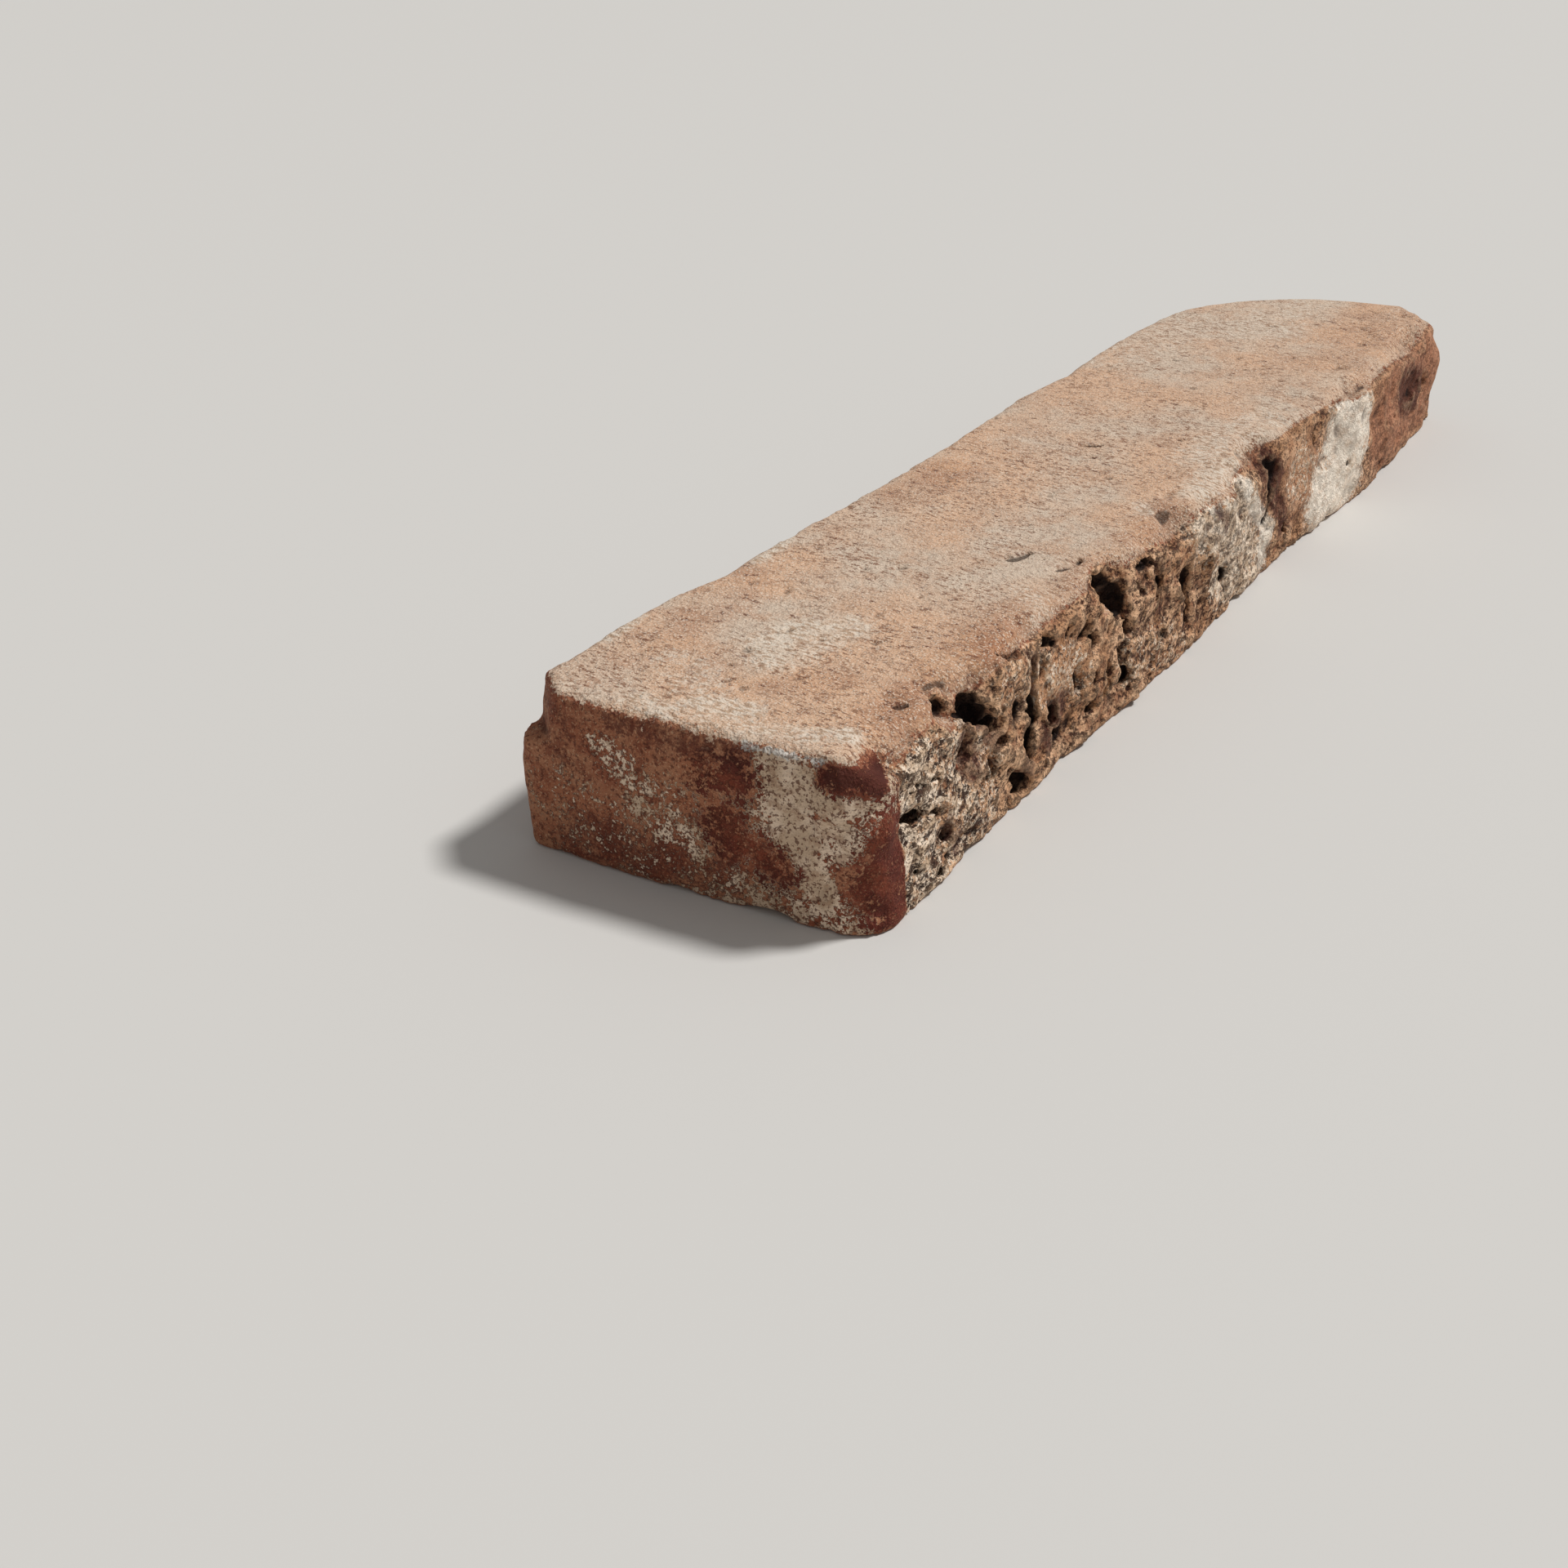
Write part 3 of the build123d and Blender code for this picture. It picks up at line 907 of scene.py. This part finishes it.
picture_side = 1024
Chart = namedtuple("Chart", "across up left bottom scale")
fine_scale = 5.2
coarse_scale = 4.1
charts = {
    "top near": Chart((1, 0, 0), (0, 1, 0), 6, 6, fine_scale),
    "top far": Chart((1, 0, 0), (0, 1, 0), 6, 299, fine_scale),
    "side near": Chart((1, 0, 0), (0, 0, 1), 6, 592, fine_scale),
    "side far": Chart((1, 0, 0), (0, 0, 1), 6, 727, fine_scale),
    "near": Chart((0, -1, 0), (0, 0, 1), 6, 862, fine_scale),
    "far": Chart((0, 1, 0), (0, 0, 1), 301, 862, fine_scale),
    "back": Chart((0, 1, 0), (1, 0, 0), 660, 10, coarse_scale),
    "left": Chart((0, 0, 1), (1, 0, 0), 896, 10, coarse_scale),
}


# A polygon is in a chart from this share of its face. It faces up by more than this in the worn face's
# chart, and by less than this in the sawn back's, where it also lies no higher than a limit.
chart_share = 0.5
up_in_top = 0.65
up_in_back = -0.72
back_height = 2.0


def lay_flat(thing):
    """Adds the map, with every polygon in the chart of the face that it belongs to."""
    mesh = thing.data
    corners = np.empty(len(mesh.loops), np.int32)
    mesh.loops.foreach_get("vertex_index", corners)
    starts = np.empty(len(mesh.polygons), np.int32)
    mesh.polygons.foreach_get("loop_start", starts)
    counts = np.diff(np.append(starts, len(corners)))
    places = mesh_places(mesh).astype(float)[corners]
    middles = np.add.reduceat(places, starts) / counts[:, None]
    up = sample(facing[2], middles)
    parts = {
        "back": (up < up_in_back) & (middles[:, 2] < back_height),
        "near": sample(on_near, middles) > chart_share,
        "top": up > up_in_top,
        "far": sample(on_far, middles) > chart_share,
        "left": sample(on_left, middles) > chart_share,
        "side": np.ones(len(middles), bool),
    }
    flat = np.zeros((len(corners), 2))
    left_over = np.ones(len(middles), bool)
    for name, belongs in parts.items():
        chosen = belongs & left_over
        left_over &= ~chosen
        halves = {name: chosen}
        if name in ("top", "side"):
            near_half = middles[:, 0] < 0
            halves = {name + " near": chosen & near_half, name + " far": chosen & ~near_half}
        for half, shown in halves.items():
            chart = charts[half]
            here = np.repeat(shown, counts)
            spots = places[here] @ np.array([chart.across, chart.up], float).T
            spots -= spots.min(axis=0)
            flat[here] = (spots * chart.scale + (chart.left, chart.bottom)) / picture_side
    layer = mesh.uv_layers.new(name="OFBake")
    layer.data.foreach_set("uv", flat.astype(np.float32).ravel())


# Material

def tone(red, green, blue):
    """A colour given as it looks on a screen, turned into the renderer's linear numbers."""
    linear = []
    for value in (red, green, blue):
        share = value / 255
        linear.append(share / 12.92 if share <= 0.04045 else ((share + 0.055) / 1.055) ** 2.4)
    return (*linear, 1.0)


# Flecks: where a noise or mask goes from a start to an end, a colour covers up to a share, which another
# value may hold back
Fleck = namedtuple("Fleck", "cause start end share colour held", defaults=(None,))


class Graph:
    """Adds nodes to a material and links them. A value is a number, a colour or another node's output."""

    # How a noise's one shift moves it along X, Y and Z
    shift_ways = (1, 0.7, 1.3)

    def __init__(self, material):
        self.nodes = material.node_tree.nodes
        self.links = material.node_tree.links
        self.places = self.add("ShaderNodeTexCoord").outputs["Object"]

    def add(self, kind, **settings):
        node = self.nodes.new(kind)
        for name, value in settings.items():
            setattr(node, name, value)
        return node

    def put(self, socket, value):
        if isinstance(value, bpy.types.NodeSocket):
            self.links.new(value, socket)
        else:
            socket.default_value = value

    def mask(self, name):
        return self.add("ShaderNodeAttribute", attribute_name=name).outputs["Fac"]

    def sum(self, kind, a, b=0.0, c=0.0):
        node = self.add("ShaderNodeMath", operation=kind)
        for socket, value in zip(node.inputs, (a, b, c)):
            self.put(socket, value)
        return node.outputs[0]

    def less(self, name, loss, whole=1.0):
        """A whole, less a loss where a mask is set."""
        return self.sum("MULTIPLY_ADD", self.mask(name), -loss, whole)

    def span(self, value, start, end, low_value=0.0, high_value=1.0):
        node = self.add("ShaderNodeMapRange", interpolation_type="SMOOTHSTEP")
        for socket, number in zip(node.inputs, (value, start, end, low_value, high_value)):
            self.put(socket, number)
        return node.outputs[0]

    def mix(self, share, a, b):
        node = self.add("ShaderNodeMix", data_type="RGBA")
        colours = [socket for socket in node.inputs if socket.type == "RGBA"]
        self.put(node.inputs["Factor"], share)
        self.put(colours[0], a)
        self.put(colours[1], b)
        return [socket for socket in node.outputs if socket.type == "RGBA"][0]

    def flecked(self, colour, *flecks):
        """A colour with flecks laid over it, one after another."""
        for fleck in flecks:
            cover = self.span(fleck.cause, fleck.start, fleck.end, 0.0, fleck.share)
            if fleck.held is not None:
                cover = self.sum("MULTIPLY", cover, fleck.held)
            colour = self.mix(cover, colour, fleck.colour)
        return colour

    def noise(self, size, detail=2.0, roughness=0.55, shift=0.0, stretch=(1, 1, 1)):
        """Noise whose lumps are about a size in millimetres across."""
        mapping = self.add("ShaderNodeMapping")
        self.put(mapping.inputs["Vector"], self.places)
        mapping.inputs["Location"].default_value = [shift * way for way in self.shift_ways]
        mapping.inputs["Scale"].default_value = [1 / share for share in stretch]
        node = self.add("ShaderNodeTexNoise")
        self.put(node.inputs["Vector"], mapping.outputs[0])
        node.inputs["Scale"].default_value = 1 / (size * mm)
        node.inputs["Detail"].default_value = detail
        node.inputs["Roughness"].default_value = roughness
        return node.outputs[0]


class ClayGraph(Graph):
    """The clay's graph, with the noises and masks that several of its layers share."""

    # The broken side's grain is drawn out along X, and the worn face's marks run across it
    side_stretch = (1.6, 1, 1)
    face_stretch = (1, 2.4, 1)
    nick_stretch = (1, 2.0, 1)

    def __init__(self, material):
        super().__init__(material)
        self.broad = self.noise(24, 3)
        self.middle = self.noise(5, 4, shift=0.3)
        self.small = self.noise(1.6, 3, 0.6, shift=0.7)
        self.grain = self.noise(0.55, 2, 0.6, shift=1.1)
        self.speck = self.noise(0.3, 1, 0.5, shift=1.9)
        self.pits = self.noise(1.1, 5, 0.82, shift=3.1, stretch=self.side_stretch)
        self.flecks = self.noise(1.5, 3, 0.6, shift=4.3, stretch=self.side_stretch)
        self.drag = self.noise(1.3, 3, 0.6, shift=5.1, stretch=self.face_stretch)
        self.hairs = self.noise(0.5, 2, 0.6, shift=5.9, stretch=self.face_stretch)
        self.nicks = self.noise(1.0, 3, 0.65, shift=6.7, stretch=self.nick_stretch)
        self.wear = self.span(self.noise(17, 3, 0.6, shift=8.1), 0.38, 0.62, 0.45, 1.15)
        self.raised = self.mask("raised")
        self.bumpy = self.less("calm", 0.8)
        self.crackle = self.crackled()

    def crackled(self):
        """A noise about nought that breaks every patch up into a wide fringe of crackle and specks."""
        layers = (
            (self.noise(2.4, 5, 0.68, shift=2.3), 1.8),
            (self.noise(0.8, 3, 0.6, shift=2.9), 2.0),
            (self.noise(0.36, 2, 0.6, shift=7.3), 1.4),
        )
        total = 0.0
        for layer, amount in layers:
            total = self.sum("MULTIPLY_ADD", layer, amount, self.sum("ADD", total, -amount / 2))
        return total

    def patchy(self, name, softness, raggedness=1.0, drift=0.0):
        """A mask with a ragged edge that is soft by half this much each way and may drift about."""
        cover = self.sum("MULTIPLY_ADD", self.crackle, raggedness, self.mask(name))
        cover = self.sum("MULTIPLY_ADD", self.middle, drift, self.sum("ADD", cover, -drift / 2))
        held = self.span(self.mask(name), 0.02, 0.2)
        return self.sum("MULTIPLY", self.span(cover, 0.5 - softness, 0.5 + softness), held)


# Colours that more than one layer has
# Dirt in the broken side's grain, and painted shade in low places
dirt_and_shade_tone = tone(62, 31, 20)
grit_tone = tone(206, 166, 132)


def plain_clay(g):
    """Clay where no dust or mortar lies, as on the near end, with dark patches that are partly painted shade.
    """
    clay = g.flecked(
        tone(164, 104, 74),
        Fleck(g.broad, 0.4, 0.6, 1.0, tone(142, 80, 56)),
        Fleck(g.middle, 0.42, 0.62, 0.8, tone(178, 124, 92)),
        Fleck(g.small, 0.52, 0.62, 0.6, tone(120, 62, 44)),
        Fleck(g.grain, 0.54, 0.62, 0.7, tone(90, 46, 33)),
        Fleck(g.speck, 0.6, 0.68, 0.5, grit_tone))
    # Dark patches, partly painted shade on the corner facet and along the bottom
    return g.mix(g.sum("MULTIPLY", g.patchy("dark", 0.3), 0.75), clay, tone(96, 46, 33))


def worn_face(g):
    """The worn face: paler with dust, redder where it was rubbed, with short dark marks across it."""
    dusty = g.flecked(
        tone(216, 176, 144),
        Fleck(g.broad, 0.4, 0.6, 1.0, tone(210, 188, 166)),
        Fleck(g.middle, 0.45, 0.65, 0.8, tone(202, 166, 138)))
    rubbed = g.flecked(tone(200, 150, 112), Fleck(g.middle, 0.4, 0.6, 1.0, tone(172, 118, 84)))
    dusty = g.mix(g.sum("MULTIPLY", g.mask("rubbed"), 0.9), dusty, rubbed)
    nicks = g.sum("MULTIPLY_ADD", g.mask("rubbed"), 0.045, g.nicks)
    nicked = g.span(g.middle, 0.36, 0.6, 0.35, 1.0)
    dusty = g.flecked(
        dusty,
        Fleck(g.drag, 0.54, 0.66, 0.6, tone(158, 116, 90), g.wear),
        Fleck(g.hairs, 0.53, 0.61, 0.75, tone(134, 94, 70), g.wear),
        Fleck(nicks, 0.6, 0.66, 0.85, tone(104, 60, 42), nicked),
        Fleck(g.speck, 0.56, 0.64, 0.6, tone(234, 216, 196)))
    lime = g.flecked(tone(230, 216, 198), Fleck(g.hairs, 0.45, 0.6, 1.0, tone(188, 160, 134)))
    return g.mix(g.sum("MULTIPLY", g.patchy("lime", 0.36, 0.6, 0.8), 0.8), dusty, lime)


def broken_clay(g):
    """The broken side's porous clay: redder towards the far end, with dark pits close together, whose
    darkness is painted shade.
    """
    clay = g.flecked(tone(226, 180, 142), Fleck(g.middle, 0.4, 0.6, 1.0, tone(192, 142, 104)))
    clay = g.mix(g.mask("burnt"), clay, tone(184, 124, 94))
    unburnt = g.less("burnt", 0.65, 0.95)
    return g.flecked(
        clay,
        Fleck(g.flecks, 0.5, 0.6, 0.65, tone(134, 84, 58), g.bumpy),
        # Painted shade in the fine pits, which the bump also sinks
        Fleck(g.pits, 0.53, 0.58, 1.0, tone(66, 30, 18), g.sum("MULTIPLY", unburnt, g.bumpy)),
        Fleck(g.grain, 0.54, 0.6, 0.75, dirt_and_shade_tone, unburnt))


def broken_side(g):
    """The broken side's clay with pale mortar, a crust of lime and dark patches over it, mostly painted
    shade.
    """
    mortar = g.flecked(
        tone(248, 226, 202),
        Fleck(g.flecks, 0.42, 0.6, 1.0, tone(206, 178, 150)),
        # Painted shade in the mortar's fine pits
        Fleck(g.pits, 0.51, 0.55, 0.95, tone(68, 38, 25), g.bumpy),
        Fleck(g.grain, 0.54, 0.59, 0.85, tone(58, 33, 22), g.bumpy))
    crust = g.flecked(
        tone(254, 240, 222),
        Fleck(g.flecks, 0.45, 0.7, 1.0, tone(236, 214, 192)),
        Fleck(g.middle, 0.52, 0.66, 0.4, tone(190, 170, 150)),
        Fleck(g.pits, 0.6, 0.68, 0.5, tone(158, 130, 106)))
    side = g.mix(g.patchy("mortar", 0.16), broken_clay(g), mortar)
    side = g.mix(g.patchy("crust", 0.36, 0.75, 1.6), side, crust)
    # Dark patches, mostly painted shade in the recess, the slot and about the holes
    return g.mix(g.sum("MULTIPLY", g.patchy("dark", 0.34, 0.6), 0.85), side, tone(86, 40, 28))


def mortar_film(g):
    """The thin smear of lime mortar on the near end."""
    return g.flecked(
        tone(238, 212, 186),
        Fleck(g.middle, 0.4, 0.6, 1.0, tone(204, 176, 148)),
        Fleck(g.small, 0.52, 0.64, 0.6, tone(166, 130, 104)),
        Fleck(g.grain, 0.54, 0.6, 0.8, tone(100, 62, 46)))


def bare_clay(g):
    """The dark red clay where the near end's skin has come off, darker still with painted shade on the corner
    facet.
    """
    return g.flecked(
        tone(130, 64, 43),
        Fleck(g.middle, 0.42, 0.6, 1.0, tone(102, 44, 31)),
        Fleck(g.small, 0.5, 0.66, 0.6, tone(84, 38, 28)),
        Fleck(g.speck, 0.58, 0.66, 0.4, tone(166, 108, 80)),
        # Painted shade on the corner facet
        Fleck(g.mask("dark"), 0.2, 1.0, 0.8, tone(70, 30, 22)))


def sawn_back(g):
    """The sawn back's fresh clay, with pale grit."""
    return g.flecked(
        tone(178, 110, 78),
        Fleck(g.middle, 0.35, 0.65, 1.0, tone(158, 94, 66)),
        Fleck(g.grain, 0.56, 0.64, 0.7, grit_tone))


def shaded_and_weathered(g, colour):
    """A colour darkened in low places by dirt and painted shade, with painted shade in its holes, and with
    pale rubbed peaks on the broken side.
    """
    return g.flecked(
        colour,
        # Low places darker, partly dirt and partly painted shade
        Fleck(g.raised, 0.46, 0.2, 0.7, dirt_and_shade_tone, g.less("top", 0.45)),
        Fleck(g.raised, 0.56, 0.8, 0.25, tone(222, 186, 148), g.mask("side")),
        # Painted shade deep in the holes
        Fleck(g.mask("deep"), 0.1, 0.7, 0.96, tone(30, 13, 8), g.less("top", 0.3)))


# How far the bump of the finest relief stands out
bump_height = 0.5


def bump(g, film_cover, bare_cover):
    """The normal of grain too fine for the mesh, of the smear's edge and of the broken side's pits."""
    side_pits = g.sum("MULTIPLY", g.span(g.pits, 0.5, 0.6), g.sum("MULTIPLY", g.mask("side"), g.bumpy))
    height = g.sum("MULTIPLY", g.grain, 0.7)
    amounts = ((g.speck, 0.35), (g.small, 0.9), (film_cover, 0.35), (bare_cover, -0.3), (side_pits, -0.7))
    for value, amount in amounts:
        height = g.sum("MULTIPLY_ADD", value, amount, height)
    node = g.add("ShaderNodeBump")
    node.inputs["Distance"].default_value = bump_height * mm
    node.inputs["Strength"].default_value = 1.0
    g.put(node.inputs["Height"], height)
    return node.outputs[0]


def clay_material():
    """Old fired clay with dust, lime mortar, pits and bare spots."""
    material = bpy.data.materials.new("fired_clay")
    material.use_nodes = True
    g = ClayGraph(material)
    shader = material.node_tree.nodes["Principled BSDF"]

    face_cover = g.span(g.sum("MULTIPLY_ADD", g.crackle, 0.7, g.mask("top")), 0.4, 0.6)
    side_cover = g.span(g.sum("MULTIPLY_ADD", g.crackle, 0.3, g.mask("side")), 0.35, 0.65)
    film_cover = g.patchy("film", 0.1, 1.0, 0.7)
    bare_cover = g.patchy("bare", 0.1, 1.3, 1.0)
    residue_cover = g.sum("MULTIPLY", g.patchy("residue", 0.2), 0.8)
    residue = g.flecked(tone(232, 226, 218), Fleck(g.grain, 0.45, 0.6, 1.0, tone(160, 148, 138)))

    colour = g.mix(face_cover, plain_clay(g), worn_face(g))
    colour = g.mix(side_cover, colour, broken_side(g))
    colour = g.mix(film_cover, colour, mortar_film(g))
    colour = g.mix(bare_cover, colour, bare_clay(g))
    colour = g.mix(residue_cover, colour, residue)
    colour = g.mix(g.mask("back"), colour, sawn_back(g))

    g.put(shader.inputs["Base Color"], shaded_and_weathered(g, colour))
    g.put(shader.inputs["Roughness"], g.span(g.small, 0.3, 0.7, 0.82, 0.96))
    shader.inputs["Specular IOR Level"].default_value = 0.3
    g.put(shader.inputs["Normal"], bump(g, film_cover, bare_cover))
    return material


# Scene: floor, light and camera

# Half the floor's side, in metres, and its colour and roughness
floor_half = 3.0
floor_tone = tone(214, 211, 206)
floor_roughness = 0.9

# The sky is plain white. The sun stands in this direction, seen from the slip, and is this many degrees wide.
sky_strength = 0.28
sun_strength = 2.6
sun_width = 9
sun_place = (0.42, -0.37, 0.83)

# The photo's camera: its focal length and side in pixels, its place in millimetres and its turn in degrees
focal_pixels = 2050
photo_side = 1920
sensor_width = 36.0
camera_place = (-258.23, -105.96, 118.84)
camera_turn = (59.45, 0, -56.37)


def plain_material(name, colour, roughness):
    material = bpy.data.materials.new(name)
    material.use_nodes = True
    shader = material.node_tree.nodes["Principled BSDF"]
    shader.inputs["Base Color"].default_value = colour
    shader.inputs["Roughness"].default_value = roughness
    return material


def add_floor():
    half = floor_half
    mesh = bpy.data.meshes.new("floor")
    corners = [(-half, -half, 0), (half, -half, 0), (half, half, 0), (-half, half, 0)]
    mesh.from_pydata(corners, [], [(0, 1, 2, 3)])
    mesh.materials.append(plain_material("floor", floor_tone, floor_roughness))
    floor = bpy.data.objects.new("floor", mesh)
    bpy.context.scene.collection.objects.link(floor)


def add_lights():
    world = bpy.data.worlds.new("studio")
    bpy.context.scene.world = world
    world.use_nodes = True
    sky = world.node_tree.nodes["Background"]
    sky.inputs["Color"].default_value = (1.0, 1.0, 1.0, 1.0)
    sky.inputs["Strength"].default_value = sky_strength

    lamp = bpy.data.lights.new("key", "SUN")
    lamp.angle = math.radians(sun_width)
    lamp.energy = sun_strength
    key = bpy.data.objects.new("key", lamp)
    key.location = sun_place
    key.rotation_euler = key.location.to_track_quat("Z", "Y").to_euler()
    bpy.context.scene.collection.objects.link(key)


def add_camera():
    data = bpy.data.cameras.new("camera")
    data.sensor_fit = "HORIZONTAL"
    data.sensor_width = sensor_width
    data.lens = sensor_width * focal_pixels / photo_side
    camera = bpy.data.objects.new("camera", data)
    camera.location = [value * mm for value in camera_place]
    camera.rotation_euler = [math.radians(angle) for angle in camera_turn]
    bpy.context.scene.collection.objects.link(camera)
    bpy.context.scene.camera = camera


def clear_defaults():
    """Removes what a new Blender file holds, and leaves the frame's own objects."""
    for name in ("Cube", "Light", "Camera"):
        thing = bpy.data.objects.get(name)
        if thing:
            bpy.data.objects.remove(thing)


clear_defaults()
add_camera()
add_lights()
add_floor()

relief = worn_field()
veneer = mesh_from(relief, "worn_slip")
thin_out(veneer)
paint_masks(veneer, relief)
lay_flat(veneer)
veneer.data.materials.append(clay_material())
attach(veneer, "root")
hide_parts("brick_slip")

bpy.context.scene.view_settings.view_transform = "Standard"
bpy.context.view_layer.update()
